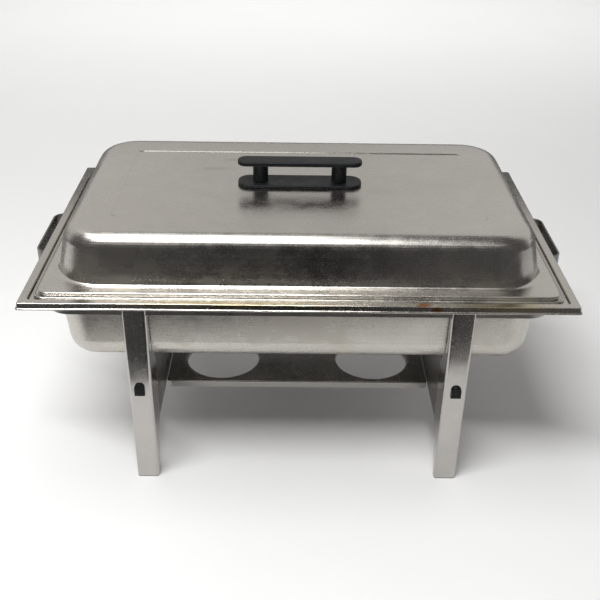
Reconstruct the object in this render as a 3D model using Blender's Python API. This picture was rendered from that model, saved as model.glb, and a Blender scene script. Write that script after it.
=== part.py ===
"""Full-size rectangular chafing dish with a lift-off domed cover.

A flat-bar frame ring on four folded sheet legs carries a water pan.  A food pan
hangs in the water pan, and the domed cover with its black handle rests on the
food pan.  A shelf with two fuel-can holes ties the two end panels together.

Frame: +X along the length, +Y to the back, +Z up, origin on the table below the
centre.  Lengths in this file are millimetres, scaled to metres when a mesh is made.
"""
import math

import bmesh
import bpy
from mathutils import Vector

MM = 0.001
GAP = 0.3                    # clearance between pieces that touch
CORNERS = ((1, 1), (-1, 1), (-1, -1), (1, -1))

# --- Driving dimensions -------------------------------------------------------
CORNER_STEPS = 6             # segments on each plan corner of a pan or cover
BEND_STEPS = 4               # segments on each folded or pressed bend

RIM_LENGTH = 558.4           # water-pan rim, top edge
RIM_WIDTH = 355.4
RIM_Z = 238.6
SHEET = 0.8                  # pan and cover sheet

WATER_STEP = 3.0             # the ledge lies this far below the rim's outer strip
WATER_STRIP = 8.0            # width of the raised outer strip
WATER_BODY_INSET = 28.2      # rim edge to the body's outer wall
WATER_TAPER = 8.0
WATER_BOTTOM_Z = 146.0
WATER_BODY_CORNER = 30.5
WATER_BOTTOM_BEND = 28.0
HEM_DROP = 6.4
HEM_FLARE = 0.9
HEM_BEAD = 1.1

FOOD_LENGTH = 530.6          # food-pan flange, without its rolled bead
FOOD_WIDTH = 327.6
FOOD_FLANGE_Z = 237.6
FOOD_DEPTH = 65.0
FOOD_BODY_INSET = 19.0
FOOD_TAPER = 6.0
FOOD_BODY_CORNER = 46.0
FOOD_BOTTOM_BEND = 18.0
FOOD_BEAD = 1.25

COVER_LENGTH = 527.2
COVER_WIDTH = 324.6
COVER_FLANGE_Z = 241.8
COVER_EDGE_DROP = 3.9
COVER_TOP_Z = 294.5
COVER_BASE_INSET = 15.7      # flange edge to the foot of the dome wall
COVER_TOP_INSET = 22.3       # flange edge to the dome wall carried up to the top
COVER_TOP_BEND = 17.0
COVER_BASE_BEND = 3.0
COVER_BASE_CORNER = 48.0
COVER_TOP_CORNER = 42.0
COVER_END_SPREAD = 4.2       # the dome's ends slope more than its sides, by this much at the foot
PANEL_INSET = 67.0           # flange edge to the shallow pressed panel in the top
PANEL_DEPTH = 1.0
PANEL_SLOPE = 1.6

HANDLE_LENGTH = 138.0
BASE_WIDTH = 33.0
BASE_THICK = 3.4
BAR_WIDTH = 22.0
BAR_THICK = 5.0
HANDLE_TOP_Z = 322.0
POST_SPACING = 87.6
POST_RADIUS = 8.5
SCREW_RADIUS = 2.0
SCREW_CLEAR = 0.45
SCREW_REACH = 11.0           # thread length inside a post

RING_LENGTH = 520.0          # flat-bar ring, outside
RING_WIDTH = 311.0
RING_CORNER = 25.0
RING_BAR = 2.0
RING_Z = (212.5, 234.4)

LEG_SHEET = 1.2
LEG_INNER_X = 155.8          # inner edge of each leg's face
LEG_WIDTH_TOP = 25.6
LEG_WIDTH_FOOT = 24.4
LEG_TOP_Z = 233.5
LEG_INNER_BEND = 3.6
LEG_OUTER_BEND = 2.6
LEG_RETURN = 7.0
# depth of the leg's inner flange at each height, from the floor up
LEG_FLANGE = ((0.0, 8.0), (12.0, 10.0), (24.0, 16.0), (44.0, 16.0), (57.0, 29.0), (62.0, 35.0),
              (138.0, 35.0), (150.0, 24.0), (163.0, 13.5), (180.0, 9.5), (212.0, 8.0), (LEG_TOP_Z, 8.0))

PANEL_Z = (56.0, 141.0)      # end panels
PANEL_HALF_WIDTH = 151.0

SHELF_Z = 59.0
SHELF_WIDTH = 104.0
SHELF_SHEET = 1.0
SHELF_LIP = 9.0
HOLE_RADIUS = 44.2
HOLE_SWAGE = 3.0
HOLE_SPACING = 184.8
HOLE_COLLAR = 4.0
HOLE_STEPS = 40

LUG_WIDTH = 11.0
LUG_HEIGHT = 14.5
LUG_THICK = 3.0
LUG_X = 169.5
LUG_Z = 120.8
LUG_STEM_RADIUS = 2.8
LUG_STEM_LENGTH = 4.2

GRIP_REACH = 293.0           # side handles, from the centre line
GRIP_HALF_SPAN = 48.0
GRIP_FOOT = 14.0
GRIP_BAR = 2.0
GRIP_Z = (211.6, 230.6)
GRIP_BEND = 11.0

# --- Values that follow from them ---------------------------------------------
LEDGE_Z = RIM_Z - WATER_STEP
PANEL_FLOOR_Z = COVER_TOP_Z - PANEL_DEPTH
BASE_Z = PANEL_FLOOR_Z + GAP
POST_Z = BASE_Z + BASE_THICK + GAP
LEG_FACE_Y = RING_WIDTH / 2 + GAP + LEG_SHEET
SHELF_HALF_LENGTH = LEG_INNER_X + LEG_SHEET - GAP
HALF_POSTS = POST_SPACING / 2

# colour, roughness, metallic
STEEL_PAN = ((0.62, 0.61, 0.59), 0.34, 1.0)
STEEL_FRAME = ((0.52, 0.52, 0.51), 0.40, 1.0)
STEEL_BRIGHT = ((0.72, 0.72, 0.72), 0.28, 1.0)
BLACK_PLASTIC = ((0.022, 0.023, 0.025), 0.42, 0.0)


# --- Plane geometry -----------------------------------------------------------
def arc_points(centre, radius, start, end, steps):
    """Points on an arc; angles in degrees."""
    points = []
    for step in range(steps + 1):
        angle = math.radians(start + (end - start) * step / steps)
        points.append((centre[0] + radius * math.cos(angle), centre[1] + radius * math.sin(angle)))
    return points


def rounded_path(corners, steps=BEND_STEPS):
    """An open path through (u, v, radius) corners, each bend made an arc."""
    path = [corners[0][:2]]
    for before, corner, after in zip(corners, corners[1:], corners[2:]):
        point = Vector(corner[:2])
        back = (Vector(before[:2]) - point).normalized()
        ahead = (Vector(after[:2]) - point).normalized()
        half_angle = back.angle(ahead) / 2
        radius = corner[2]
        if radius <= 0:
            path.append(tuple(point))
            continue
        centre = point + (back + ahead).normalized() * (radius / math.sin(half_angle))
        first = point + back * (radius / math.tan(half_angle)) - centre
        turn = first.angle_signed(point + ahead * (radius / math.tan(half_angle)) - centre)
        for step in range(steps + 1):
            angle = -turn * step / steps
            spun = Vector((first.x * math.cos(angle) - first.y * math.sin(angle),
                           first.x * math.sin(angle) + first.y * math.cos(angle)))
            path.append(tuple(centre + spun))
    path.append(corners[-1][:2])
    return path


def offset_path(path, distance):
    """The path moved to its right-hand side by distance, with mitred bends."""
    points = [Vector(point) for point in path]
    moved = []
    for index, point in enumerate(points):
        normals = []
        if index > 0:
            along = (point - points[index - 1]).normalized()
            normals.append(Vector((along.y, -along.x)))
        if index < len(points) - 1:
            along = (points[index + 1] - point).normalized()
            normals.append(Vector((along.y, -along.x)))
        mean = sum(normals, Vector((0.0, 0.0))).normalized()
        moved.append(tuple(point + mean * (distance / mean.dot(normals[0]))))
    return moved


def bead_points(upper_end, lower_end, radius, steps=5):
    """A rolled bead that closes the end of a sheet, from its upper to its lower face."""
    upper = Vector(upper_end)
    lower = Vector(lower_end)
    across = (upper - lower).normalized()
    ahead = Vector((across.y, -across.x))
    half_sheet = (upper - lower).length / 2
    centre = (upper + lower) / 2 + ahead * math.sqrt(radius ** 2 - half_sheet ** 2)
    start = math.pi - math.asin(half_sheet / radius)
    points = []
    for step in range(1, steps):
        angle = start - 2 * start * step / steps
        points.append(tuple(centre + ahead * (radius * math.cos(angle)) + across * (radius * math.sin(angle))))
    return points


def table_value(table, position):
    """Linear reading of a table of (position, value) rows, held at its ends."""
    if position <= table[0][0]:
        return table[0][1]
    for (low, low_value), (high, high_value) in zip(table, table[1:]):
        if position <= high:
            return low_value + (high_value - low_value) * (position - low) / (high - low)
    return table[-1][1]


# --- Mesh helpers -------------------------------------------------------------
def plan_loop(half_length, half_width, radius, height, steps=CORNER_STEPS):
    """A level rounded rectangle, anticlockwise from the +X side."""
    loop = []
    for quadrant, (sign_x, sign_y) in enumerate(CORNERS):
        centre = (sign_x * (half_length - radius), sign_y * (half_width - radius))
        for x, y in arc_points(centre, radius, 90 * quadrant, 90 * quadrant + 90, steps):
            loop.append((x, y, height))
    return loop


def circle_loop(x, y, radius, height, steps=24):
    """A level circle."""
    return [(px, py, height) for px, py in arc_points((x, y), radius, 0, 360, steps)[:-1]]


def loft(name, loops, closed=False):
    """An object skinned over loops of equal count; open ends get flat caps."""
    mesh = bpy.data.meshes.new(name)
    work = bmesh.new()
    rows = [[work.verts.new(Vector(point) * MM) for point in loop] for loop in loops]
    pairs = list(zip(rows, rows[1:]))
    if closed:
        pairs.append((rows[-1], rows[0]))
    else:
        work.faces.new(rows[0])
        work.faces.new(rows[-1])
    count = len(rows[0])
    for low, high in pairs:
        for index in range(count):
            after = (index + 1) % count
            work.faces.new((low[index], low[after], high[after], high[index]))
    bmesh.ops.recalc_face_normals(work, faces=work.faces)
    work.to_mesh(mesh)
    work.free()
    part = bpy.data.objects.new(name, mesh)
    bpy.context.scene.collection.objects.link(part)
    return part


def prism(name, outline, low, high, place):
    """An outline extruded from low to high; place(u, v, w) gives each point."""
    return loft(name, [[place(u, v, level) for u, v in outline] for level in (low, high)])


def box(name, low, high):
    """A plain block, for joining and cutting."""
    outline = ((low[0], low[1]), (high[0], low[1]), (high[0], high[1]), (low[0], high[1]))
    return prism(name, outline, low[2], high[2], lambda u, v, w: (u, v, w))


def turned(name, x, y, profile, steps=24):
    """A solid of revolution about a vertical line from (radius, height) rows."""
    return loft(name, [circle_loop(x, y, radius, height, steps) for radius, height in profile])


def combine(part, tool, operation):
    """Join or cut with another object, which is then removed."""
    modifier = part.modifiers.new(operation.lower(), "BOOLEAN")
    modifier.operation = operation
    modifier.solver = "EXACT"
    modifier.object = tool
    depsgraph = bpy.context.evaluated_depsgraph_get()
    result = bpy.data.meshes.new_from_object(part.evaluated_get(depsgraph))
    part.modifiers.clear()
    part.data = result
    bpy.data.objects.remove(tool)


def finish(part, look, smooth_angle=35.0):
    """Give a part its own material and smooth its curved faces."""
    colour, roughness, metallic = look
    material = bpy.data.materials.new(part.name + "_material")
    material.use_nodes = True
    shader = material.node_tree.nodes["Principled BSDF"]
    shader.inputs["Base Color"].default_value = (*colour, 1.0)
    shader.inputs["Roughness"].default_value = roughness
    shader.inputs["Metallic"].default_value = metallic
    material.diffuse_color = (*colour, 1.0)
    part.data.materials.clear()
    part.data.materials.append(material)
    part.data.shade_smooth()
    part.data.set_sharp_from_angle(angle=math.radians(smooth_angle))
    return part


def pressed_shell(name, path, size, corner_table, bead=0.0, end_spread=((0.0, 0.0),)):
    """A pressed sheet: the path is its upper face from the middle out to the edge.

    Each path point is (distance beyond the size's outline, height); end_spread adds
    to that distance at the two ends only.
    """
    lower = offset_path(path, SHEET)
    section = list(path)
    if bead > 0:
        section += bead_points(path[-1], lower[-1], bead)
    section += lower[::-1]
    loops = []
    for outset, height in section:
        radius = table_value(corner_table, outset)
        half_length = size[0] / 2 + outset + table_value(end_spread, outset)
        loops.append(plan_loop(half_length, size[1] / 2 + outset, radius, height))
    return loft(name, loops)


def drill(part, x, y, radius, low, high):
    """Cut a round vertical hole."""
    cutter = turned("cutter", x, y, ((radius, low), (radius, high)))
    combine(part, cutter, "DIFFERENCE")


# --- Pans and cover -----------------------------------------------------------
def water_pan():
    """The outer pan: stepped rim with a hemmed edge, tapered body, rounded bottom."""
    wall_top = -WATER_BODY_INSET - SHEET
    floor_edge = wall_top - WATER_TAPER
    middle = floor_edge - WATER_BOTTOM_BEND - 2.0
    path = rounded_path((
        (middle, WATER_BOTTOM_Z + SHEET, 0),
        (floor_edge, WATER_BOTTOM_Z + SHEET, WATER_BOTTOM_BEND),
        (wall_top, LEDGE_Z, COVER_BASE_BEND),
        (-WATER_STRIP - 1.3, LEDGE_Z, 0.8),
        (-WATER_STRIP, RIM_Z, 0.9),
        (0.0, RIM_Z, 1.0),
        (HEM_FLARE, RIM_Z - HEM_DROP + HEM_BEAD, 0),
    ))
    corners = ((middle, 3.0), (floor_edge, WATER_BODY_CORNER - WATER_TAPER),
               (wall_top, WATER_BODY_CORNER - SHEET), (-WATER_STRIP - 1.3, 4.0), (0.0, 2.2), (3.0, 3.0))
    pan = pressed_shell("water_pan", path, (RIM_LENGTH, RIM_WIDTH), corners, HEM_BEAD)
    return finish(pan, STEEL_PAN)


def food_pan():
    """The inner pan, hanging by its flange on the water pan's ledge."""
    bottom = FOOD_FLANGE_Z - FOOD_DEPTH
    wall_top = -FOOD_BODY_INSET
    floor_edge = wall_top - FOOD_TAPER
    middle = floor_edge - FOOD_BOTTOM_BEND - 2.0
    path = rounded_path((
        (middle, bottom, 0),
        (floor_edge, bottom, FOOD_BOTTOM_BEND),
        (wall_top, FOOD_FLANGE_Z, COVER_BASE_BEND),
        (0.0, FOOD_FLANGE_Z, 0),
    ))
    corners = ((middle, 26.0), (floor_edge, FOOD_BODY_CORNER - FOOD_TAPER),
               (wall_top, FOOD_BODY_CORNER), (0.0, 11.0), (3.0, 13.0))
    pan = pressed_shell("food_pan", path, (FOOD_LENGTH, FOOD_WIDTH), corners, FOOD_BEAD)
    return finish(pan, STEEL_PAN)


def cover():
    """The domed cover with its shallow pressed panel, flange and turned-down edge."""
    panel_edge = -PANEL_INSET
    path = rounded_path((
        (panel_edge - 12.0, PANEL_FLOOR_Z, 0),
        (panel_edge - PANEL_SLOPE, PANEL_FLOOR_Z, 0),
        (panel_edge, COVER_TOP_Z, 0),
        (-COVER_TOP_INSET, COVER_TOP_Z, COVER_TOP_BEND),
        (-COVER_BASE_INSET, COVER_FLANGE_Z, COVER_BASE_BEND),
        (0.0, COVER_FLANGE_Z, 1.3),
        (0.0, COVER_FLANGE_Z - COVER_EDGE_DROP, 0),
    ), steps=5)
    corners = ((panel_edge, 8.0), (-COVER_TOP_INSET - COVER_TOP_BEND, 27.0),
               (-COVER_TOP_INSET, COVER_TOP_CORNER), (-COVER_BASE_INSET, COVER_BASE_CORNER), (0.0, 12.0))
    spread = ((-COVER_TOP_INSET, 0.0), (-COVER_BASE_INSET, COVER_END_SPREAD), (0.0, 0.0))
    shell = pressed_shell("cover", path, (COVER_LENGTH, COVER_WIDTH), corners, end_spread=spread)
    for side in (-1, 1):
        drill(shell, side * HALF_POSTS, 0, SCREW_RADIUS + SCREW_CLEAR, COVER_TOP_Z - 9, COVER_TOP_Z + 9)
    return finish(shell, STEEL_PAN)


# --- Cover handle -------------------------------------------------------------
def handle_base():
    """The flat moulded plate under the handle's posts."""
    top = BASE_Z + BASE_THICK
    loops = [plan_loop(HANDLE_LENGTH / 2 - inset, BASE_WIDTH / 2 - inset, 14.0 - inset, height)
             for inset, height in ((0.9, BASE_Z), (0.0, BASE_Z + 0.9), (0.0, top - 1.4), (0.4, top - 0.5),
                                   (1.4, top))]
    plate = loft("cover_handle_base", loops)
    for side in (-1, 1):
        drill(plate, side * HALF_POSTS, 0, SCREW_RADIUS + SCREW_CLEAR, BASE_Z - 5, top + 5)
    return finish(plate, BLACK_PLASTIC)


def handle_grip():
    """The moulded bar and its two round posts, bored for screws from below."""
    low = HANDLE_TOP_Z - BAR_THICK
    top = HANDLE_TOP_Z
    rows = ((1.2, low), (0.3, low + 0.5), (0.0, low + 1.4), (0.0, top - 1.6), (0.4, top - 0.6), (1.4, top))
    loops = [plan_loop(HANDLE_LENGTH / 2 - inset, BAR_WIDTH / 2 - inset, 9.0 - inset, height)
             for inset, height in rows]
    grip = loft("cover_handle_grip", loops)
    for side in (-1, 1):
        post = turned("post", side * HALF_POSTS, 0, ((POST_RADIUS, POST_Z), (POST_RADIUS, low + 2.5)), 32)
        combine(grip, post, "UNION")
    for side in (-1, 1):
        drill(grip, side * HALF_POSTS, 0, SCREW_RADIUS + SCREW_CLEAR, POST_Z - 5, POST_Z + SCREW_REACH + 2)
    return finish(grip, BLACK_PLASTIC)


def handle_fixings():
    """A screw and a washer for each post, put in from inside the cover."""
    washer_top = PANEL_FLOOR_Z - SHEET - GAP
    washer_low = washer_top - 0.8
    head_top = washer_low - GAP
    for side, place in ((-1, "left"), (1, "right")):
        x = side * HALF_POSTS
        washer = turned("handle_washer_" + place, x, 0,
                        ((6.0, washer_low), (6.0, washer_top)))
        drill(washer, x, 0, SCREW_RADIUS + SCREW_CLEAR, washer_low - 3, washer_top + 3)
        finish(washer, STEEL_BRIGHT)
        tip = POST_Z + SCREW_REACH
        profile = ((2.6, head_top - 2.4), (3.7, head_top - 1.7), (4.0, head_top - 0.6), (4.0, head_top),
                   (SCREW_RADIUS, head_top), (SCREW_RADIUS, tip - 1.0), (SCREW_RADIUS - 0.7, tip))
        finish(turned("handle_screw_" + place, x, 0, profile), STEEL_BRIGHT)


# --- Stand --------------------------------------------------------------------
def frame_ring():
    """The flat-bar ring that the water pan's rim rests on."""
    loops = []
    for inset, height in ((0.0, RING_Z[0]), (0.0, RING_Z[1]), (RING_BAR, RING_Z[1]), (RING_BAR, RING_Z[0])):
        loops.append(plan_loop(RING_LENGTH / 2 - inset, RING_WIDTH / 2 - inset, RING_CORNER - inset, height))
    return finish(loft("frame_ring", loops, closed=True), STEEL_FRAME)


def leg_section(height):
    """The leg's folded section at one height: inner flange, face and outer return."""
    depth = table_value(LEG_FLANGE, height)
    share = height / LEG_TOP_Z
    width = LEG_WIDTH_FOOT + (LEG_WIDTH_TOP - LEG_WIDTH_FOOT) * share
    outer_x = LEG_INNER_X + width
    path = rounded_path((
        (outer_x, LEG_FACE_Y - LEG_RETURN, 0),
        (outer_x, LEG_FACE_Y, LEG_OUTER_BEND),
        (LEG_INNER_X, LEG_FACE_Y, LEG_INNER_BEND),
        (LEG_INNER_X, LEG_FACE_Y - depth, 0),
    ))
    return path + offset_path(path, -LEG_SHEET)[::-1]


def leg(name, sign_x, sign_y):
    """One folded leg, relieved where it passes the ring and bored for its lug's stem."""
    loops = []
    for height, _depth in LEG_FLANGE:
        loops.append([(sign_x * x, sign_y * y, height) for x, y in leg_section(height)])
    part = loft(name, loops)
    back = LEG_FACE_Y - LEG_SHEET
    cut_x = sorted((sign_x * (LEG_INNER_X - 5), sign_x * (LEG_INNER_X + 40)))
    cut_y = sorted((sign_y * back, sign_y * (back - 40)))
    relief = box("relief", (cut_x[0], cut_y[0], RING_Z[0] - 1.0), (cut_x[1], cut_y[1], LEG_TOP_Z + 9))
    combine(part, relief, "DIFFERENCE")
    combine(part, lug_stem(sign_x, sign_y, LUG_STEM_RADIUS + GAP, LUG_STEM_LENGTH + 2, -2), "DIFFERENCE")
    return finish(part, STEEL_FRAME)


def lug_stem(sign_x, sign_y, radius, reach, start):
    """A round stem through the leg's face, from start to reach behind that face."""
    circle = arc_points((LUG_X, LUG_Z), radius, 0, 360, 20)[:-1]
    return prism("stem", circle, start, reach,
                 lambda u, v, w: (sign_x * u, sign_y * (LEG_FACE_Y - w), v))


def stacking_lug(name, sign_x, sign_y):
    """A black arched lug that a second stand's leg sits against when stacked."""
    half = LUG_WIDTH / 2
    low = LUG_Z - LUG_HEIGHT / 2
    spring = LUG_Z + LUG_HEIGHT / 2 - half

    def outline(inset):
        arch = arc_points((LUG_X, spring), half - inset, 0, 180, 10)
        return arch + [(LUG_X - half + inset, low + inset), (LUG_X + half - inset, low + inset)]

    loops = []
    for inset, stand in ((0.0, GAP), (0.0, LUG_THICK - 0.8), (0.9, LUG_THICK)):
        loops.append([(sign_x * u, sign_y * (LEG_FACE_Y + stand), v) for u, v in outline(inset)])
    part = loft(name, loops)
    combine(part, lug_stem(sign_x, sign_y, LUG_STEM_RADIUS, LUG_STEM_LENGTH, -1.5), "UNION")
    return finish(part, BLACK_PLASTIC)


def end_panel(name, sign_x):
    """The upright plate that joins a front and a rear leg and holds the shelf."""
    low_x, high_x = sorted((sign_x * (LEG_INNER_X + LEG_SHEET + GAP),
                            sign_x * (LEG_INNER_X + 2 * LEG_SHEET + GAP)))
    plate = box(name, (low_x, -PANEL_HALF_WIDTH, PANEL_Z[0]), (high_x, PANEL_HALF_WIDTH, PANEL_Z[1]))
    return finish(plate, STEEL_FRAME)


def fuel_shelf():
    """The shelf between the end panels: turned-down edges and two swaged holes."""
    half_length = SHELF_HALF_LENGTH
    half_width = SHELF_WIDTH / 2
    low = SHELF_Z - SHELF_LIP
    rows = ((0.0, low), (0.0, SHELF_Z - 1.6), (0.5, SHELF_Z - 0.5), (1.6, SHELF_Z),
            (1.8, SHELF_Z - SHELF_SHEET), (SHELF_SHEET, SHELF_Z - 1.8), (SHELF_SHEET, low))
    outer = [plan_loop(half_length - inset, half_width - inset, 4.0 - inset, height, 4)
             for inset, height in rows[:4]]
    inner = [plan_loop(half_length - inset, half_width - inset, 4.0 - inset, height, 4)
             for inset, height in rows[4:]]
    part = shelf_skin(outer, inner)
    for side in (-1, 1):
        x = side * HOLE_SPACING / 2
        cut = HOLE_RADIUS + 1.0
        cutter = turned("cutter", x, 0, ((cut, SHELF_Z - 5), (cut, SHELF_Z + 5)), HOLE_STEPS)
        combine(part, cutter, "DIFFERENCE")
        combine(part, hole_collar(x), "UNION")
    return finish(part, STEEL_FRAME)


def shelf_skin(outer, inner):
    """The shelf's tray: outer loops up to the top, inner loops down to the lip."""
    loops = [outer[3], outer[2], outer[1], outer[0], inner[2], inner[1], inner[0]]
    return loft("fuel_shelf", loops)


def hole_collar(x):
    """A rounded collar drawn down around one fuel-can hole."""
    top = SHELF_Z - 0.25
    sheet = SHELF_SHEET * 0.9
    inner = rounded_path(((HOLE_RADIUS + HOLE_SWAGE + 1.2, top, 0), (HOLE_RADIUS, top, HOLE_SWAGE),
                          (HOLE_RADIUS, top - HOLE_SWAGE - HOLE_COLLAR, 0)), steps=3)
    outer = offset_path(inner, -sheet)
    section = inner + outer[::-1]
    loops = [circle_loop(x, 0, radius, height, HOLE_STEPS) for radius, height in section]
    return loft("collar", loops, closed=True)


def side_handle(name, sign_x):
    """A flat-bar loop standing out past the rim, its feet on the ring's end."""
    foot_x = RING_LENGTH / 2 + GAP
    span = GRIP_HALF_SPAN
    corners = (
        (foot_x, -span - GRIP_FOOT, 0),
        (foot_x, -span, 3.0 + GRIP_BAR),
        (GRIP_REACH - GRIP_BAR, -span, GRIP_BEND - GRIP_BAR),
        (GRIP_REACH - GRIP_BAR, span, GRIP_BEND - GRIP_BAR),
        (foot_x, span, 3.0 + GRIP_BAR),
        (foot_x, span + GRIP_FOOT, 0),
    )
    path = rounded_path(corners, steps=5)
    outline = path + offset_path(path, GRIP_BAR)[::-1]
    strap = prism(name, outline, GRIP_Z[0], GRIP_Z[1], lambda u, v, w: (sign_x * u, v, w))
    return finish(strap, STEEL_FRAME)


def stand():
    """Ring, legs, lugs, end panels, shelf and side handles."""
    frame_ring()
    for sign_y, depth in ((-1, "front"), (1, "rear")):
        for sign_x, side in ((-1, "left"), (1, "right")):
            leg(f"leg_{depth}_{side}", sign_x, sign_y)
            stacking_lug(f"stacking_lug_{depth}_{side}", sign_x, sign_y)
    for sign_x, side in ((-1, "left"), (1, "right")):
        end_panel("end_panel_" + side, sign_x)
        side_handle("side_handle_" + side, sign_x)
    fuel_shelf()


def main():
    for old in list(bpy.data.objects):
        bpy.data.objects.remove(old)
    stand()
    water_pan()
    food_pan()
    cover()
    handle_base()
    handle_grip()
    handle_fixings()


main()
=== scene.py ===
"""The look of a used stainless chafing dish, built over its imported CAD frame.

Lengths are millimetres, scaled to metres when a mesh is made.
"""
import math

import bmesh
import bpy
from mathutils import Matrix, Vector, noise

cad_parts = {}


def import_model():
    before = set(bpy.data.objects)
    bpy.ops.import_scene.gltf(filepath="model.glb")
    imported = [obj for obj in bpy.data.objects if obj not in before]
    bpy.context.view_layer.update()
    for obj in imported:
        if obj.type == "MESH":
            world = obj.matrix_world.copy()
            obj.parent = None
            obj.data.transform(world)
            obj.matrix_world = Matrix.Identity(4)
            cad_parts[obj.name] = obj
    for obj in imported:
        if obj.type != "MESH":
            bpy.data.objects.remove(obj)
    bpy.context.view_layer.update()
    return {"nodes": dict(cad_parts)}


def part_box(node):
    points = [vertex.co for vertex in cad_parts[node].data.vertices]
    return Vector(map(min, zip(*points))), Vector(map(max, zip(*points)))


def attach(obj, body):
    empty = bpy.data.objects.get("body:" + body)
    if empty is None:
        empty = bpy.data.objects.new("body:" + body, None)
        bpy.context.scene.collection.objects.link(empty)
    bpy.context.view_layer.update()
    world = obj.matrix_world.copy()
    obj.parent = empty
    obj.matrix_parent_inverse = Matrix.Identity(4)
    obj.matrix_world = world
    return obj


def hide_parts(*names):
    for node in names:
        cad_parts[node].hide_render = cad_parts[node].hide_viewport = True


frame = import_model()

MM = 0.001
CORNERS = ((1, 1), (-1, 1), (-1, -1), (1, -1))


def node_box(name):
    """A CAD node's lowest and highest corners, in millimetres."""
    low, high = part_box(name)
    return Vector(low) / MM, Vector(high) / MM


# --- Sizes read from the CAD frame ----------------------------------------------
WATER_LOW, WATER_HIGH = node_box("water_pan")
FOOD_LOW, FOOD_HIGH = node_box("food_pan")
COVER_LOW, COVER_HIGH = node_box("cover")
RING_LOW, RING_HIGH = node_box("frame_ring")
LEG_LOW, LEG_HIGH = node_box("leg_rear_right")
PANEL_LOW, PANEL_HIGH = node_box("end_panel_right")
SHELF_LOW, SHELF_HIGH = node_box("fuel_shelf")
LUG_LOW, LUG_HIGH = node_box("stacking_lug_rear_right")
GRIP_LOW, GRIP_HIGH = node_box("side_handle_right")
BASE_LOW, BASE_HIGH = node_box("cover_handle_base")
BAR_LOW, BAR_HIGH = node_box("cover_handle_grip")
SCREW_TIP_Z = node_box("handle_screw_right")[1].z

# --- Section sizes, in millimetres ------------------------------------------------
SHEET = 0.8
HEM_OUT = 1.77               # the hem's bead stands out this far past the rim's top edge
HEM_DROP = 6.4
HEM_FLARE = 0.9
HEM_BEAD = 1.1
WATER_STEP = 3.0
WATER_STRIP = 8.0
WATER_BODY_INSET = 28.2
WATER_TAPER = 8.0
WATER_BODY_CORNER = 30.5
WATER_BOTTOM_BEND = 28.0
FOOD_BEAD = 1.25
FOOD_BEAD_OUT = 2.2
FOOD_BODY_INSET = 19.0
FOOD_TAPER = 6.0
FOOD_BODY_CORNER = 46.0
FOOD_BOTTOM_BEND = 18.0
COVER_EDGE_DROP = 3.9
COVER_BASE_INSET = 15.7
COVER_TOP_INSET = 22.3
COVER_TOP_BEND = 17.0
COVER_BASE_BEND = 3.0
COVER_BASE_CORNER = 48.0
COVER_TOP_CORNER = 42.0
PANEL_INSET = 67.0
PANEL_DEPTH = 1.0
PANEL_SLOPE = 1.6
PANEL_BEND = 0.8
COVER_END_SPREAD = 4.2       # extra slope of the dome at its two ends
RING_BAR = 2.0
RING_CORNER = 25.0
LEG_SHEET = 1.2
LEG_WIDTH_FOOT = 24.4
LEG_INNER_BEND = 3.6
LEG_OUTER_BEND = 2.6
LEG_RETURN = 7.0
LEG_FLANGE = ((0.0, 8.0), (12.0, 10.0), (24.0, 16.0), (44.0, 16.0), (57.0, 29.0), (62.0, 35.0),
              (138.0, 35.0), (150.0, 24.0), (163.0, 13.5), (180.0, 9.5), (210.0, 8.0))
SHELF_SHEET = 1.0
HOLE_RADIUS = 44.2
HOLE_SWAGE = 3.0
HOLE_X = 92.4
HOLE_DEPTH = 7.0
HOLE_STEPS = 96
GRIP_BAR = 2.0
GRIP_BEND = 11.0
GRIP_HALF_SPAN = 48.0
POST_X = 43.8
POST_RADIUS = 8.5
SCREW_HOLE = 2.5
BAR_THICK = 5.0


# --- Plane geometry ---------------------------------------------------------------
def rounded_path(corners, steps=9):
    """An open path through (u, v, radius) corners, each bend made an arc."""
    path = [Vector(corners[0][:2])]
    for before, corner, after in zip(corners, corners[1:], corners[2:]):
        point = Vector(corner[:2])
        back = (Vector(before[:2]) - point).normalized()
        ahead = (Vector(after[:2]) - point).normalized()
        half_angle = back.angle(ahead) / 2
        radius = corner[2]
        if radius <= 0:
            path.append(point)
            continue
        centre = point + (back + ahead).normalized() * (radius / math.sin(half_angle))
        first = point + back * (radius / math.tan(half_angle)) - centre
        turn = first.angle_signed(point + ahead * (radius / math.tan(half_angle)) - centre)
        for step in range(steps + 1):
            angle = -turn * step / steps
            path.append(centre + Vector((first.x * math.cos(angle) - first.y * math.sin(angle),
                                         first.x * math.sin(angle) + first.y * math.cos(angle))))
    path.append(Vector(corners[-1][:2]))
    return path


def supported(path, near, spacing):
    """The path with points added beside each bend and along its long straight runs."""
    points = [path[0]]
    for start, end in zip(path, path[1:]):
        length = (end - start).length
        if length > 3 * near:
            inner = length - 2 * near
            count = max(1, round(inner / spacing))
            points += [start.lerp(end, (near + inner * step / count) / length) for step in range(count + 1)]
        points.append(end)
    return points


def offset_path(path, distance):
    """The path moved to its right-hand side by distance, with mitred bends."""
    moved = []
    for index, point in enumerate(path):
        normals = []
        if index > 0:
            along = (point - path[index - 1]).normalized()
            normals.append(Vector((along.y, -along.x)))
        if index < len(path) - 1:
            along = (path[index + 1] - point).normalized()
            normals.append(Vector((along.y, -along.x)))
        mean = sum(normals, Vector((0.0, 0.0))).normalized()
        moved.append(point + mean * (distance / mean.dot(normals[0])))
    return moved


def bead_points(upper, lower, radius, steps=14):
    """A rolled bead that closes the end of a sheet, from its upper to its lower face."""
    across = (upper - lower).normalized()
    ahead = Vector((across.y, -across.x))
    half_sheet = (upper - lower).length / 2
    centre = (upper + lower) / 2 + ahead * math.sqrt(radius ** 2 - half_sheet ** 2)
    start = math.pi - math.asin(half_sheet / radius)
    return [centre + ahead * (radius * math.cos(start - 2 * start * step / steps))
            + across * (radius * math.sin(start - 2 * start * step / steps)) for step in range(1, steps)]


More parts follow.
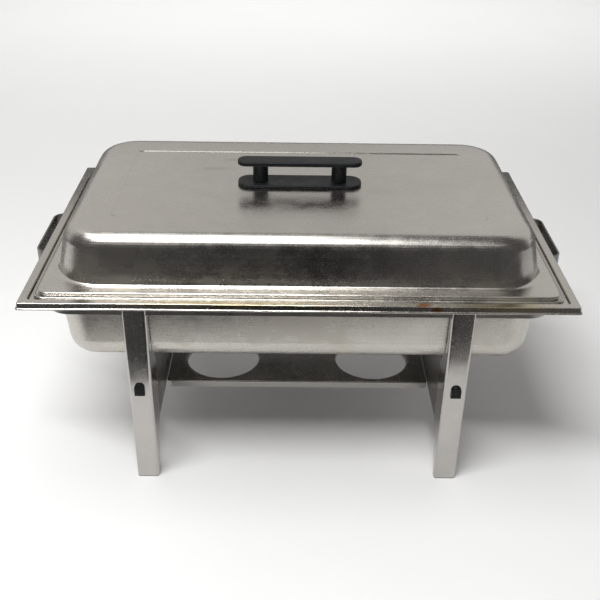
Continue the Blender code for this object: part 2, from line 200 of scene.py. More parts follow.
def table_value(table, position):
    """Linear reading of a table of (position, value) rows, held at its ends."""
    if position <= table[0][0]:
        return table[0][1]
    for (low, low_value), (high, high_value) in zip(table, table[1:]):
        if position <= high:
            return low_value + (high_value - low_value) * (position - low) / (high - low)
    return table[-1][1]


def arc(centre, radius, start, end, steps):
    """Points on an arc; angles in degrees."""
    points = []
    for step in range(steps + 1):
        angle = math.radians(start + (end - start) * step / steps)
        points.append((centre[0] + radius * math.cos(angle), centre[1] + radius * math.sin(angle)))
    return points


# --- Mesh helpers -----------------------------------------------------------------
def plan_loop(half_length, half_width, radius, height, steps=12, runs=(26, 16)):
    """A level rounded rectangle with points beside each corner and along each side."""
    loop = []
    for quadrant, (sign_x, sign_y) in enumerate(CORNERS):
        centre = (sign_x * (half_length - radius), sign_y * (half_width - radius))
        corner = arc(centre, radius, 90 * quadrant, 90 * quadrant + 90, steps)
        along_x = quadrant % 2 == 0
        run = 2 * ((half_length if along_x else half_width) - radius)
        count = runs[0] if along_x else runs[1]
        end = Vector(corner[-1])
        way = Vector((-sign_x, 0.0)) if along_x else Vector((0.0, -sign_y))
        near = min(1.5, run / 6)
        corner += [tuple(end + way * (near + (run - 2 * near) * step / count)) for step in range(count + 1)]
        loop += [(x, y, height) for x, y in corner]
    return loop


def circle_loop(x, y, radius, height, steps):
    """A level circle."""
    return [(px, py, height) for px, py in arc((x, y), radius, 0, 360, steps)[:-1]]


def loft(name, loops, closed=False):
    """A mesh object skinned over loops of equal count; open ends get flat caps."""
    mesh = bpy.data.meshes.new(name)
    work = bmesh.new()
    rows = [[work.verts.new(Vector(point) * MM) for point in loop] for loop in loops]
    pairs = list(zip(rows, rows[1:]))
    if closed:
        pairs.append((rows[-1], rows[0]))
    else:
        work.faces.new(rows[0])
        work.faces.new(rows[-1])
    count = len(rows[0])
    for low, high in pairs:
        for index in range(count):
            after = (index + 1) % count
            work.faces.new((low[index], low[after], high[after], high[index]))
    bmesh.ops.recalc_face_normals(work, faces=work.faces)
    work.to_mesh(mesh)
    work.free()
    part = bpy.data.objects.new(name, mesh)
    bpy.context.scene.collection.objects.link(part)
    return part


def turned(name, x, y, profile, steps=48):
    """A solid of revolution about a vertical line from (radius, height) rows."""
    return loft(name, [circle_loop(x, y, radius, height, steps) for radius, height in profile])


def combine(part, tool, operation):
    """Join or cut with another object, which is then removed."""
    modifier = part.modifiers.new(operation.lower(), "BOOLEAN")
    modifier.operation = operation
    modifier.solver = "EXACT"
    modifier.object = tool
    depsgraph = bpy.context.evaluated_depsgraph_get()
    result = bpy.data.meshes.new_from_object(part.evaluated_get(depsgraph))
    part.modifiers.clear()
    part.data = result
    bpy.data.objects.remove(tool)


def waver(part, amount, wavelength, axis, keep=lambda point: 1.0):
    """Uneven sheet: move each vertex a little along axis by smooth noise."""
    for vertex in part.data.vertices:
        place = vertex.co / (wavelength * MM)
        vertex.co += Vector(axis) * (noise.noise(place) * amount * MM * keep(vertex.co / MM))


def dress(part, body, replaced, material, smooth_angle=40.0, bevel=0.0):
    """Finish a piece: material, smooth shading, softened edges, body and CAD node."""
    part.data.materials.clear()
    part.data.materials.append(material)
    part.data.shade_smooth()
    part.data.set_sharp_from_angle(angle=math.radians(smooth_angle))
    if bevel > 0:
        modifier = part.modifiers.new("edge", "BEVEL")
        modifier.width = bevel * MM
        modifier.segments = 2
        modifier.limit_method = "ANGLE"
        modifier.angle_limit = math.radians(smooth_angle)
        modifier.harden_normals = True
    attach(part, body)
    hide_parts(replaced)
    return part


# --- Materials --------------------------------------------------------------------
class Graph:
    """A Principled material with short calls for the nodes it uses."""

    def __init__(self, name, colour, roughness, metallic):
        self.material = bpy.data.materials.new(name)
        self.material.use_nodes = True
        self.tree = self.material.node_tree
        self.shader = self.tree.nodes["Principled BSDF"]
        self.set(self.shader, {"Base Color": (*colour, 1.0), "Roughness": roughness, "Metallic": metallic})
        self.material.diffuse_color = (*colour, 1.0)
        self.coords = self.tree.nodes.new("ShaderNodeTexCoord").outputs["Object"]

    def set(self, node, inputs):
        for key, value in inputs.items():
            if isinstance(value, bpy.types.NodeSocket):
                self.tree.links.new(value, node.inputs[key])
            else:
                node.inputs[key].default_value = value

    def put(self, kind, inputs, **settings):
        node = self.tree.nodes.new("ShaderNode" + kind)
        for key, value in settings.items():
            setattr(node, key, value)
        self.set(node, inputs)
        return node

    def mapped(self, scale, turn=(0.0, 0.0, 0.0), shift=(0.0, 0.0, 0.0)):
        turn = tuple(math.radians(angle) for angle in turn)
        turned_coords = self.put("Mapping", {"Vector": self.coords, "Rotation": turn, "Location": shift})
        return self.put("Mapping", {"Vector": turned_coords.outputs[0], "Scale": scale}).outputs[0]

    def noise(self, scale, turn=(0.0, 0.0, 0.0), detail=3.0, roughness=0.55, distortion=0.0,
              shift=(0, 0, 0)):
        inputs = {"Vector": self.mapped(scale, turn, shift), "Scale": 1.0, "Detail": detail,
                  "Roughness": roughness, "Distortion": distortion}
        return self.put("TexNoise", inputs).outputs["Fac"]

    def ramp(self, value, low, high, to_low=0.0, to_high=1.0):
        inputs = {"Value": value, "From Min": low, "From Max": high, "To Min": to_low, "To Max": to_high}
        return self.put("MapRange", inputs).outputs["Result"]

    def math(self, operation, first, second):
        node = self.put("Math", {0: first, 1: second}, operation=operation)
        return node.outputs[0]

    def mix(self, share, first, second):
        node = self.tree.nodes.new("ShaderNodeMix")
        node.data_type = "RGBA"
        node.clamp_factor = True
        sockets = {socket.identifier: socket for socket in node.inputs}
        for key, value in (("Factor_Float", share), ("A_Color", first), ("B_Color", second)):
            if isinstance(value, bpy.types.NodeSocket):
                self.tree.links.new(value, sockets[key])
            else:
                sockets[key].default_value = value
        return next(socket for socket in node.outputs if socket.identifier == "Result_Color")

    def spot(self, centre, size):
        """A soft-edged blot: 1 at its centre, 0 a size away, with a ragged edge; millimetres."""
        offset = self.put("VectorMath", {0: self.coords, 1: [c * MM for c in centre]}, operation="SUBTRACT")
        scaled = self.put("VectorMath", {0: offset.outputs[0], 1: [1 / (s * MM) for s in size]},
                          operation="MULTIPLY")
        length = self.put("VectorMath", {0: scaled.outputs[0]}, operation="LENGTH").outputs["Value"]
        ragged = self.math("ADD", length, self.ramp(self.noise((450.0, 450.0, 450.0)), 0.3, 0.7, -0.3, 0.3))
        return self.ramp(ragged, 0.35, 1.0, 1.0, 0.0)

    def bump(self, height, distance, normal=None):
        inputs = {"Height": height, "Distance": distance, "Strength": 1.0}
        if normal is not None:
            inputs["Normal"] = normal
        return self.put("Bump", inputs).outputs["Normal"]


def scratches(graph, directions, length, width, share):
    """Fine straight scratches: stretched noise kept only near its peaks, in several directions."""
    total = None
    scale = (1 / length, 1 / width, 1 / width)
    for index, turn in enumerate(directions):
        streak = graph.noise(scale, turn, 2.0, 0.5, shift=(0.37 * index, 0.11, 0.05))
        line = graph.ramp(streak, share, share + 0.045)
        total = line if total is None else graph.math("MAXIMUM", total, line)
    return total


def steel(name, colour=(0.60, 0.577, 0.54), roughness=0.24, grain_axis="X", haze=0.14, stain=0.25,
          wobble=0.35, blots=()):
    """Worn rolled stainless steel: grain along the sheet, haze, scratches, stains and local blots.

    haze and stain set how far those vary, wobble is the sheet's unevenness in millimetres, and
    each blot is (centre, size, colour) with its centre and size in millimetres.
    """
    graph = Graph(name, colour, roughness, 1.0)
    long = 3.0
    fine = 900.0
    stretch = {"X": (long, fine, fine), "Y": (fine, long, fine), "Z": (fine, fine, long)}[grain_axis]
    grain = graph.noise(stretch, detail=4.0, roughness=0.6)
    cloud = graph.noise((9.0, 9.0, 9.0), detail=5.0, roughness=0.6, distortion=0.6)
    patch = graph.noise((38.0, 38.0, 38.0), detail=4.0, roughness=0.65, shift=(0.2, 0.5, 0.1))
    speck = graph.noise((420.0, 420.0, 420.0), detail=2.0, roughness=0.5)
    turns = ((0, 0, 12), (0, 0, -28), (0, 0, 64), (35, 0, 80), (80, 20, 10))
    line = scratches(graph, turns, 0.05, 0.0009, 0.665)
    stained = graph.ramp(graph.math("MULTIPLY", cloud, patch), 0.27, 0.42, 0.0, stain)
    dull = graph.mix(graph.ramp(patch, 0.3, 0.75), (*[0.90 * c for c in colour], 1.0), (*colour, 1.0))
    tinted = graph.mix(stained, dull, (colour[0] * 0.86, colour[1] * 0.78, colour[2] * 0.64, 1.0))
    fresh = (*[min(1.0, 1.15 * c) for c in colour], 1.0)
    worn = graph.mix(graph.ramp(line, 0.0, 1.0, 0.0, 0.35), tinted, fresh)
    for centre, size, tint in blots:
        worn = graph.mix(graph.spot(centre, size), worn, (*tint, 1.0))
    rough = graph.ramp(cloud, 0.3, 0.72, roughness - haze * 0.4, roughness + haze * 0.6)
    rough = graph.math("ADD", rough, graph.ramp(patch, 0.35, 0.7, -0.03, 0.05))
    rough = graph.math("ADD", rough, graph.ramp(grain, 0.3, 0.7, -0.03, 0.03))
    rough = graph.math("ADD", rough, graph.math("MULTIPLY", line, 0.12))
    broad = graph.noise((7.0, 7.0, 7.0), detail=1.0, roughness=0.4, shift=(0.9, 0.3, 0.6))
    normal = graph.bump(broad, wobble * MM)
    normal = graph.bump(graph.noise((30.0, 30.0, 30.0), detail=2.0), 0.016 * MM, normal)
    normal = graph.bump(grain, 0.0015 * MM, normal)
    normal = graph.bump(graph.math("ADD", speck, line), 0.0009 * MM, normal)
    graph.set(graph.shader, {"Base Color": worn, "Roughness": rough, "Normal": normal})
    return graph.material


def black_plastic(name):
    """Moulded black plastic: fine spark texture, rubbed patches and dust in the grain."""
    graph = Graph(name, (0.018, 0.019, 0.021), 0.42, 0.0)
    fine = graph.noise((900.0, 900.0, 900.0), detail=2.0)
    patch = graph.noise((45.0, 45.0, 45.0), detail=4.0, roughness=0.65)
    dust = graph.ramp(graph.math("MULTIPLY", fine, patch), 0.24, 0.42, 0.0, 0.5)
    scuff = scratches(graph, ((0, 0, 8), (0, 0, 40), (0, 20, -30)), 0.02, 0.0006, 0.67)
    colour = graph.mix(dust, (0.005, 0.006, 0.007, 1.0), (0.022, 0.023, 0.025, 1.0))
    colour = graph.mix(graph.ramp(scuff, 0.0, 1.0, 0.0, 0.4), colour, (0.13, 0.13, 0.13, 1.0))
    rough = graph.math("ADD", graph.ramp(patch, 0.3, 0.7, 0.34, 0.52), graph.math("MULTIPLY", scuff, 0.1))
    normal = graph.bump(graph.math("ADD", fine, graph.math("MULTIPLY", patch, 2.0)), 0.02 * MM)
    graph.set(graph.shader, {"Base Color": colour, "Roughness": rough, "Normal": normal,
                             "Specular IOR Level": 0.2})
    return graph.material


# --- Pans and cover ---------------------------------------------------------------
def pressed_shell(name, path, half, corners, bead=0.0, end_spread=((0.0, 0.0),)):
    """A pressed sheet: the path is its upper face, as (distance past the half size, height) points."""
    path = supported(path, 0.6, 14.0)
    lower = offset_path(path, SHEET)
    section = list(path)
    if bead > 0:
        section += bead_points(path[-1], lower[-1], bead)
    section += lower[::-1]
    loops = [plan_loop(half[0] + out + table_value(end_spread, out), half[1] + out,
                       table_value(corners, out), height) for out, height in section]
    return loft(name, loops)


def water_pan(material):
    """The outer pan with its stepped rim, hemmed edge and tapered body."""
    rim_z = WATER_HIGH.z
    ledge_z = rim_z - WATER_STEP
    bottom = WATER_LOW.z + SHEET
    half = (WATER_HIGH.x - HEM_OUT, WATER_HIGH.y - HEM_OUT)
    wall_top = -WATER_BODY_INSET - SHEET
    floor_edge = wall_top - WATER_TAPER
    middle = floor_edge - WATER_BOTTOM_BEND - 2.0
    path = rounded_path((
        (middle, bottom, 0),
        (floor_edge, bottom, WATER_BOTTOM_BEND),
        (wall_top, ledge_z, COVER_BASE_BEND),
        (-WATER_STRIP - 1.3, ledge_z, 0.8),
        (-WATER_STRIP, rim_z, 0.9),
        (0.0, rim_z, 1.0),
        (HEM_FLARE, rim_z - HEM_DROP + HEM_BEAD, 0),
    ))
    corners = ((middle, 3.0), (floor_edge, WATER_BODY_CORNER - WATER_TAPER),
               (wall_top, WATER_BODY_CORNER - SHEET), (-WATER_STRIP - 1.3, 4.0), (0.0, 2.2), (3.0, 3.0))
    pan = pressed_shell("water_pan_sheet", path, half, corners, HEM_BEAD)
    waver(pan, 0.5, 90.0, (0, 0, 1), lambda p: 1.0 if p.z > 225 else 0.0)
    return dress(pan, "water_pan", "water_pan", material, 60)


def food_pan(material):
    """The inner pan, of which the cover leaves only the rolled edge showing."""
    flange_z = FOOD_HIGH.z - FOOD_BEAD + SHEET / 2
    bottom = FOOD_LOW.z + SHEET
    half = (FOOD_HIGH.x - FOOD_BEAD_OUT, FOOD_HIGH.y - FOOD_BEAD_OUT)
    wall_top = -FOOD_BODY_INSET
    floor_edge = wall_top - FOOD_TAPER
    middle = floor_edge - FOOD_BOTTOM_BEND - 2.0
    path = rounded_path((
        (middle, bottom, 0),
        (floor_edge, bottom, FOOD_BOTTOM_BEND),
        (wall_top, flange_z, COVER_BASE_BEND),
        (0.0, flange_z, 0),
    ))
    corners = ((middle, 26.0), (floor_edge, FOOD_BODY_CORNER - FOOD_TAPER),
               (wall_top, FOOD_BODY_CORNER), (0.0, 11.0), (3.0, 13.0))
    pan = pressed_shell("food_pan_sheet", path, half, corners, FOOD_BEAD)
    return dress(pan, "food_pan", "food_pan", material, 60)


def cover(material):
    """The domed cover: pressed panel in the top, rounded dome, flange and turned-down edge."""
    top = COVER_HIGH.z
    flange_z = COVER_LOW.z + COVER_EDGE_DROP
    floor_z = top - PANEL_DEPTH
    edge = -PANEL_INSET
    path = rounded_path((
        (edge - 30.0, floor_z, 0),
        (edge - PANEL_SLOPE, floor_z, PANEL_BEND),
        (edge, top, PANEL_BEND),
        (-COVER_TOP_INSET, top, COVER_TOP_BEND),
        (-COVER_BASE_INSET, flange_z, COVER_BASE_BEND),
        (0.0, flange_z, 1.3),
        (0.0, flange_z - COVER_EDGE_DROP, 0),
    ))
    corners = ((edge, 8.0), (-COVER_TOP_INSET - COVER_TOP_BEND, 27.0), (-COVER_TOP_INSET, COVER_TOP_CORNER),
               (-COVER_BASE_INSET, COVER_BASE_CORNER), (0.0, 12.0))
    spread = ((-COVER_TOP_INSET, 0.0), (-COVER_BASE_INSET, COVER_END_SPREAD), (0.0, 0.0))
    shell = pressed_shell("cover_sheet", path, (COVER_HIGH.x, COVER_HIGH.y), corners, end_spread=spread)
    for side in (-1, 1):
        hole = turned("hole", side * POST_X, 0, ((SCREW_HOLE, top - 9), (SCREW_HOLE, top + 9)))
        combine(shell, hole, "DIFFERENCE")
    return dress(shell, "cover", "cover", material, 50)


# --- Cover handle -----------------------------------------------------------------
def rounded_slab(name, half_length, half_width, corner, low, high, edge):
    """A flat plate with round ends and rounded upper and lower edges."""
    rows = [(edge - edge * math.sin(math.radians(a)), low + edge - edge * math.cos(math.radians(a)))
            for a in (0, 22, 45, 67, 90)]
    rows += [(inset, high - (height - low)) for inset, height in reversed(rows)]
    rows = [(rows[0][0] + 1.5, rows[0][1])] + rows + [(rows[-1][0] + 1.5, rows[-1][1])]
    return loft(name, [plan_loop(half_length - inset, half_width - inset, corner - inset, height)
                       for inset, height in rows])


def handle_base(material):
    """The flat moulded plate under the posts."""
    half = (BASE_HIGH - BASE_LOW) / 2
    plate = rounded_slab("handle_base_plate", half.x, half.y, 14.0, BASE_LOW.z, BASE_HIGH.z, 1.1)
    for side in (-1, 1):
        profile = ((SCREW_HOLE, BASE_LOW.z - 5), (SCREW_HOLE, BASE_HIGH.z + 5))
        combine(plate, turned("hole", side * POST_X, 0, profile), "DIFFERENCE")
    return dress(plate, "cover", "cover_handle_base", material, 40)


def handle_grip(material):
    """The moulded bar on its two round posts."""
    half = (BAR_HIGH - BAR_LOW) / 2
    underside = BAR_HIGH.z - BAR_THICK
    bar = rounded_slab("handle_grip_bar", half.x, half.y, 9.5, underside, BAR_HIGH.z, 1.5)
    for side in (-1, 1):
        profile = [(SCREW_HOLE, SCREW_TIP_Z + 1), (SCREW_HOLE, BAR_LOW.z), (POST_RADIUS - 0.5, BAR_LOW.z),
                   (POST_RADIUS, BAR_LOW.z + 0.5), (POST_RADIUS, underside - 2.5)]
        profile += [(POST_RADIUS + 2.5 * (1 - math.cos(math.radians(a))),
                     underside - 2.5 + 2.5 * math.sin(math.radians(a))) for a in (25, 50, 75)]
        profile += [(POST_RADIUS + 2.2, underside + 1.0)]
        combine(bar, turned("post", side * POST_X, 0, profile), "UNION")
    return dress(bar, "cover", "cover_handle_grip", material, 40)


# --- Stand ------------------------------------------------------------------------
def frame_ring(material):
    """The flat-bar ring under the water pan's rim."""
    edge = 0.35
    rows = ((0.0, edge), (edge, 0.0), (RING_BAR - edge, 0.0), (RING_BAR, edge))
    low, high = RING_LOW.z, RING_HIGH.z
    section = [(inset, low + rise) for inset, rise in rows]
    section += [(inset, high - rise) for inset, rise in reversed(rows)]
    loops = [plan_loop(RING_HIGH.x - inset, RING_HIGH.y - inset, RING_CORNER - inset, height, runs=(12, 6))
             for inset, height in section]
    ring = loft("frame_ring_bar", loops, closed=True)
    return dress(ring, "stand", "frame_ring", material, 40)


def leg_section(height):
    """The leg's folded section at one height: outer return, face and inner flange."""
    depth = table_value(LEG_FLANGE, height)
    share = height / LEG_HIGH.z
    inner_x = LEG_LOW.x
    outer_x = inner_x + LEG_WIDTH_FOOT + (LEG_HIGH.x - inner_x - LEG_WIDTH_FOOT) * share
    face_y = LEG_HIGH.y
    path = rounded_path((
        (outer_x, face_y - LEG_RETURN, 0),
        (outer_x, face_y, LEG_OUTER_BEND),
        (inner_x, face_y, LEG_INNER_BEND),
        (inner_x, face_y - depth, 0),
    ), 7)
    path = supported(path, 0.5, 60.0)
    return path + offset_path(path, -LEG_SHEET)[::-1]


def leg(name, sign_x, sign_y, material):
    """One folded leg, relieved where it passes the ring."""
    low_x, high_x = LEG_LOW.x, LEG_HIGH.x
    heights = sorted({0.0, *[step * LEG_HIGH.z / 24 for step in range(25)], *[row[0] for row in LEG_FLANGE]})
    loops = [[(sign_x * x, sign_y * y, height) for x, y in leg_section(height)] for height in heights]
    part = loft(name, loops)
    back = LEG_HIGH.y - LEG_SHEET
    notch_low = RING_LOW.z - 1.0
    xs = sorted((sign_x * (low_x - 5), sign_x * (high_x + 5)))
    ys = sorted((sign_y * back, sign_y * (back - 40)))
    outline = [(xs[0], ys[0]), (xs[1], ys[0]), (xs[1], ys[1]), (xs[0], ys[1])]
    cutter = loft("relief", [[(x, y, z) for x, y in outline] for z in (notch_low, LEG_HIGH.z + 5)])
    combine(part, cutter, "DIFFERENCE")
    dress(part, "stand", name.replace("_sheet", ""), material, 40, 0.18)
    return part


def stacking_lug(name, sign_x, sign_y, material):
    """A black arched lug with a crowned face."""
    centre_x = (LUG_LOW.x + LUG_HIGH.x) / 2
    half = (LUG_HIGH.x - LUG_LOW.x) / 2
    low = LUG_LOW.z
    spring = LUG_HIGH.z - half
    front = LUG_HIGH.y
    back = LEG_HIGH.y + 0.05

    def outline(inset):
        arch = arc((centre_x, spring), half - inset, 0, 180, 20)
        foot = [(centre_x - half + inset, low + inset), (centre_x + half - inset, low + inset)]
        return arch + foot

    rows = [(0.0, back), (0.0, front - 1.0)]
    rows += [(1.0 - math.cos(math.radians(a)), front - 1.0 + math.sin(math.radians(a))) for a in (30, 60, 90)]
    rows += [(3.2, front)]
    loops = [[(sign_x * u, sign_y * y, v) for u, v in outline(inset)] for inset, y in rows]
    part = loft(name + "_moulding", loops)
    return dress(part, "stand", name, material, 40)


def end_panel(name, sign_x, material):
    """The upright sheet between a front and a rear leg."""
    low_x, high_x = sorted((sign_x * PANEL_LOW.x, sign_x * PANEL_HIGH.x))
    ys = [PANEL_LOW.y + (PANEL_HIGH.y - PANEL_LOW.y) * step / 24 for step in range(25)]
    outline = [(low_x, y) for y in ys] + [(high_x, y) for y in reversed(ys)]
    levels = [PANEL_LOW.z + (PANEL_HIGH.z - PANEL_LOW.z) * step / 8 for step in range(9)]
    part = loft(name + "_sheet", [[(x, y, z) for x, y in outline] for z in levels])
    return dress(part, "stand", name, material, 40, 0.15)


def fuel_shelf(material):
    """The shelf: rolled edges, turned-down lips and two swaged holes."""
    half_length, half_width = SHELF_HIGH.x, SHELF_HIGH.y
    top, low = SHELF_HIGH.z, SHELF_LOW.z
    outside = rounded_path(((6.0, top, 0), (0.0, top, 1.8), (0.0, low, 0)), 6)
    outside = supported([Vector((-u, v)) for u, v in outside], 0.4, 20.0)
    section = outside + offset_path(outside, SHELF_SHEET)[::-1]
    loops = [plan_loop(half_length + u, half_width + u, 5.0 + u if u > -4.5 else 0.5, v, 8, (20, 8))
             for u, v in section]
    part = loft("fuel_shelf_sheet", loops)
    for side in (-1, 1):
        x = side * HOLE_X
        cut = HOLE_RADIUS + HOLE_SWAGE
        combine(part, turned("cutter", x, 0, ((cut, top - 5), (cut, top + 5)), HOLE_STEPS), "DIFFERENCE")
        swage = rounded_path(((cut + 0.8, top - 0.02, 0), (HOLE_RADIUS, top - 0.02, HOLE_SWAGE),
                              (HOLE_RADIUS, top - HOLE_DEPTH, 0)), 7)
        ring = swage + offset_path(swage, -SHELF_SHEET * 0.96)[::-1]
        loops = [circle_loop(x, 0, radius, height, HOLE_STEPS) for radius, height in ring]
        combine(part, loft("collar", loops, closed=True), "UNION")
    return dress(part, "stand", "fuel_shelf", material, 35)


def side_handle(name, sign_x, material):
    """A flat-bar loop with softened edges."""
    foot_x = GRIP_LOW.x
    foot_end = GRIP_HIGH.y
    reach = GRIP_HIGH.x - GRIP_BAR
    span = GRIP_HALF_SPAN
    path = rounded_path((
        (foot_x, -foot_end, 0),
        (foot_x, -span, 5.0),
        (reach, -span, GRIP_BEND - GRIP_BAR),
        (reach, span, GRIP_BEND - GRIP_BAR),
        (foot_x, span, 5.0),
        (foot_x, foot_end, 0),
    ), 8)
    path = supported(path, 0.6, 25.0)
    outline = path + offset_path(path, GRIP_BAR)[::-1]
    loops = [[(sign_x * x, y, z) for x, y in outline] for z in (GRIP_LOW.z, GRIP_HIGH.z)]
    strap = loft(name + "_strap", loops)
    return dress(strap, "stand", name, material, 40, 0.3)


def stand(frame_material, handle_material, leg_material, shelf_material, plastic):
    """Everything that stays on the table when the pans are lifted off."""
    frame_ring(frame_material)
    for sign_y, depth in ((-1, "front"), (1, "rear")):
        for sign_x, side in ((-1, "left"), (1, "right")):
            leg(f"leg_{depth}_{side}_sheet", sign_x, sign_y, leg_material)
            stacking_lug(f"stacking_lug_{depth}_{side}", sign_x, sign_y, plastic)
    for sign_x, side in ((-1, "left"), (1, "right")):
        end_panel("end_panel_" + side, sign_x, frame_material)
        side_handle("side_handle_" + side, sign_x, handle_material)
    fuel_shelf(shelf_material)


# --- Studio -----------------------------------------------------------------------
CAMERA_PLACE = (-0.0097, -0.9437, 0.6902)
CAMERA_YAW = 0.737
CAMERA_PITCH = 30.154
CAMERA_ROLL = 0.924
CAMERA_LENS = 54.14
TABLE_NEAR_Y = -0.362        # the table top's front edge, as the steel reflects it
TABLE_SLANT = 0.11           # how far that edge turns away, per unit of length
CARD_HALF = 1.6
CARD_LIFT = 0.0008
STAGE_HALF = 9.0
WALL_Y = 0.26                # the low board behind the dish
WALL_HEIGHT = 0.33
WORLD_REAR = 0.57
WORLD_FRONT = 0.015
WORLD_SIDE = 0.09
WORLD_GLOW = 1.6             # a band of light high in front
WORLD_SEEN = 0.80


def camera():
    """The camera, in front of the dish and above it, looking down at it."""
    data = bpy.data.cameras.new("camera")
    data.lens = CAMERA_LENS
    data.sensor_width = 36.0
    data.clip_start = 0.01
    eye = bpy.data.objects.new("camera", data)
    bpy.context.scene.collection.objects.link(eye)
    yaw = Matrix.Rotation(-math.radians(CAMERA_YAW), 4, "Z")
    pitch = Matrix.Rotation(math.radians(90.0 - CAMERA_PITCH), 4, "X")
    roll = Matrix.Rotation(math.radians(CAMERA_ROLL), 4, "Z")
    eye.matrix_world = Matrix.Translation(CAMERA_PLACE) @ yaw @ pitch @ roll
    bpy.context.scene.camera = eye


def plane(name, corners, material):
    """A flat stage piece from four corners in metres."""
    mesh = bpy.data.meshes.new(name)
    mesh.from_pydata(corners, [], [(0, 1, 2, 3)])
    mesh.materials.append(material)
    part = bpy.data.objects.new(name, mesh)
    bpy.context.scene.collection.objects.link(part)
    return part


def pale_material(name, colour):
    """A matt, very slightly uneven pale surface."""
    graph = Graph(name, colour, 0.75, 0.0)
    cloud = graph.noise((3.0, 3.0, 3.0), detail=3.0)
    tone = graph.mix(graph.ramp(cloud, 0.3, 0.7), (*[c * 0.985 for c in colour], 1.0), (*colour, 1.0))
    graph.set(graph.shader, {"Base Color": tone})
    return graph.material


def floor():
    """The pale floor the camera sees, and the table top and low board that the steel reflects."""
    pale = pale_material("pale_floor", (0.87, 0.87, 0.87))
    edge = STAGE_HALF
    wide = plane("floor", [(-edge, -edge, 0), (edge, -edge, 0), (edge, edge, 0), (-edge, edge, 0)], pale)
    wide.visible_glossy = False
    half = CARD_HALF
    fall = half * TABLE_SLANT
    table = [(-half, TABLE_NEAR_Y + fall, CARD_LIFT), (half, TABLE_NEAR_Y - fall, CARD_LIFT),
             (half, WALL_Y, CARD_LIFT), (-half, WALL_Y, CARD_LIFT)]
    reflection_card("table_top", table, pale)
    board = [(-half, WALL_Y, 0), (half, WALL_Y, 0), (half, WALL_Y, WALL_HEIGHT), (-half, WALL_Y, WALL_HEIGHT)]
    # Painted shade: the low board is dark grey, standing in for the dish's shadow on the wall behind it.
    reflection_card("board", board, pale_material("shaded_board", (0.22, 0.22, 0.22)))


def reflection_card(name, corners, material):
    """A stage piece that only shows as a reflection."""
    card = plane(name, corners, material)
    card.visible_camera = False
    card.visible_diffuse = False
    card.visible_shadow = False


def fade(tree, value, rows):
    """A smooth step of a value: rows are from low, from high, to low, to high."""
    node = tree.nodes.new("ShaderNodeMapRange")
    node.interpolation_type = "SMOOTHSTEP"
    tree.links.new(value, node.inputs["Value"])
    for key, number in zip(("From Min", "From Max", "To Min", "To Max"), rows):
        node.inputs[key].default_value = number
    return node.outputs["Result"]


def worked(tree, operation, first, second=None):
    """A math node on one or two values."""
    node = tree.nodes.new("ShaderNodeMath")
    node.operation = operation
    tree.links.new(first, node.inputs[0])
    if second is not None:
        tree.links.new(second, node.inputs[1])
    return node.outputs[0]


def sky(tree):
    """The studio's brightness by direction: pale behind, nearly dark in front, a glow high in front."""
    parts = tree.nodes.new("ShaderNodeSeparateXYZ")
    tree.links.new(tree.nodes.new("ShaderNodeTexCoord").outputs["Generated"], parts.inputs[0])
    across, depth, rise = parts.outputs
    rear = fade(tree, depth, (0.05, 0.35, 0.0, WORLD_REAR))
    rear = worked(tree, "MULTIPLY", rear, fade(tree, rise, (0.78, 0.88, 1.0, 0.25)))
    front = fade(tree, worked(tree, "ABSOLUTE", across), (0.05, 0.2, WORLD_FRONT, WORLD_SIDE))
    glow = worked(tree, "MULTIPLY", fade(tree, rise, (0.62, 0.67, 0.0, WORLD_GLOW)),
                  fade(tree, rise, (0.72, 0.77, 1.0, 0.0)))
    glow = worked(tree, "MULTIPLY", glow, fade(tree, depth, (-0.6, -0.5, 1.0, 0.0)))
    glow = worked(tree, "MULTIPLY", glow, fade(tree, across, (0.02, 0.2, 1.0, 0.35)))
    return worked(tree, "ADD", worked(tree, "ADD", rear, front), glow)


def world():
    """The studio around the dish, with an even pale tone where the camera sees past the floor."""
    scene_world = bpy.data.worlds.new("studio")
    bpy.context.scene.world = scene_world
    scene_world.use_nodes = True
    tree = scene_world.node_tree
    seen = tree.nodes.new("ShaderNodeMix")
    tree.links.new(tree.nodes.new("ShaderNodeLightPath").outputs["Is Camera Ray"], seen.inputs["Factor"])
    tree.links.new(sky(tree), seen.inputs["A"])
    seen.inputs["B"].default_value = WORLD_SEEN
    background = tree.nodes["Background"]
    tree.links.new(seen.outputs["Result"], background.inputs["Strength"])
    background.inputs["Color"].default_value = (1.0, 0.985, 0.965, 1.0)


def area_light(name, place, target, size, energy, colour=(1.0, 1.0, 1.0)):
    """A rectangular soft light."""
    data = bpy.data.lights.new(name, "AREA")
    data.shape = "RECTANGLE"
    data.size, data.size_y = size
    data.energy = energy
    data.color = colour
    lamp = bpy.data.objects.new(name, data)
    bpy.context.scene.collection.objects.link(lamp)
    lamp.location = place
    lamp.rotation_mode = "QUATERNION"
    lamp.rotation_quaternion = (Vector(target) - Vector(place)).to_track_quat("-Z", "Y")
    return lamp


def studio():
    """Camera, floor and soft light."""
    camera()
    floor()
    world()
    area_light("panel", (-0.60, -0.45, 1.9), (-0.60, -0.45, 0.0), (1.46, 1.44), 17.0)
    area_light("tube", (-0.5, -0.87, 2.0), (-0.1, -0.1, 0.0), (1.4, 0.12), 30.0)
    backdrop = area_light("backdrop", (0.0, 2.0, 2.2), (0.0, 2.6, 0.0), (3.6, 1.6), 22.0)
    backdrop.visible_glossy = False
    backdrop.data.spread = math.radians(100.0)
    settings = bpy.context.scene.view_settings
    settings.view_transform = "Standard"
    settings.look = "None"


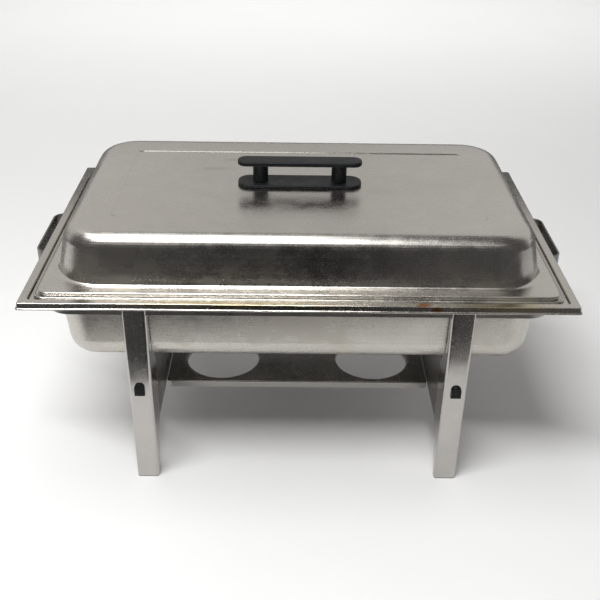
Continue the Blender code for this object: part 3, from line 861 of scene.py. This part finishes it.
def cover_marks():
    """Faint marks on the cover's top, as (centre, size, colour)."""
    lid_z = COVER_HIGH.z
    return (
        ((-98.0, 42.0, lid_z), (26.0, 7.0, 6.0), (0.50, 0.47, 0.42)),
        ((-76.0, 70.0, lid_z), (16.0, 5.0, 6.0), (0.50, 0.46, 0.39)),
        ((88.0, -20.0, lid_z), (22.0, 12.0, 6.0), (0.54, 0.51, 0.47)),
    )


def pan_marks():
    """Rust and tarnish on the water pan's front rim and wall, as (centre, size, colour)."""
    rim_z = WATER_HIGH.z
    front_y = -WATER_HIGH.y
    rust = (0.42, 0.17, 0.045)
    tarnish = (0.50, 0.44, 0.30)
    return (
        ((123.0, front_y + 5.0, rim_z), (9.0, 5.0, 5.0), rust),
        ((136.0, front_y + 1.5, rim_z - 3.0), (7.0, 3.0, 4.0), rust),
        ((-60.0, front_y + 3.0, rim_z), (120.0, 9.0, 6.0), tarnish),
        ((205.0, front_y + 3.0, rim_z), (60.0, 9.0, 6.0), tarnish),
        ((-20.0, front_y + 26.0, 176.0), (5.0, 9.0, 12.0), tarnish),
    )


def main():
    cover_steel = steel("cover_steel", blots=cover_marks())
    pan_steel = steel("pan_steel", (0.57, 0.548, 0.505), stain=0.4, wobble=0.22, blots=pan_marks())
    # Painted shade: the ring and end panels get a darker copy of the steel colour, standing in for the shade
    # they sit in under the dish.
    frame_steel = steel("frame_steel", (0.34, 0.33, 0.31), 0.30, "Y", stain=0.15, wobble=0.2)
    # Painted shade: the side handles get a much darker copy of the steel colour, standing in for the dark
    # surroundings they reflect.
    handle_steel_painted_shade = steel("handle_steel_painted_shade", (0.24, 0.23, 0.215), 0.24, "Y", haze=0.1, stain=0.15, wobble=0.1)
    leg_steel = steel("leg_steel", (0.51, 0.495, 0.47), 0.135, "Z", haze=0.07, stain=0.12, wobble=0.12)
    # Painted shade: the fuel shelf gets a darker copy of the steel colour, standing in for the shade under
    # the pan that it reflects.
    shelf_steel = steel("shelf_steel", (0.34, 0.33, 0.31), 0.20, "X", haze=0.1, stain=0.2, wobble=0.15)
    screw_steel = steel("screw_steel", (0.66, 0.65, 0.63), 0.3, "Z", stain=0.1, wobble=0.0)
    plastic = black_plastic("moulded_black")
    stand(frame_steel, handle_steel_painted_shade, leg_steel, shelf_steel, plastic)
    water_pan(pan_steel)
    food_pan(pan_steel)
    cover(cover_steel)
    handle_base(plastic)
    handle_grip(plastic)
    for side in ("left", "right"):
        for kind in ("screw", "washer"):
            node = frame["nodes"][f"handle_{kind}_{side}"]
            node.data.materials.clear()
            node.data.materials.append(screw_steel)
    studio()


main()
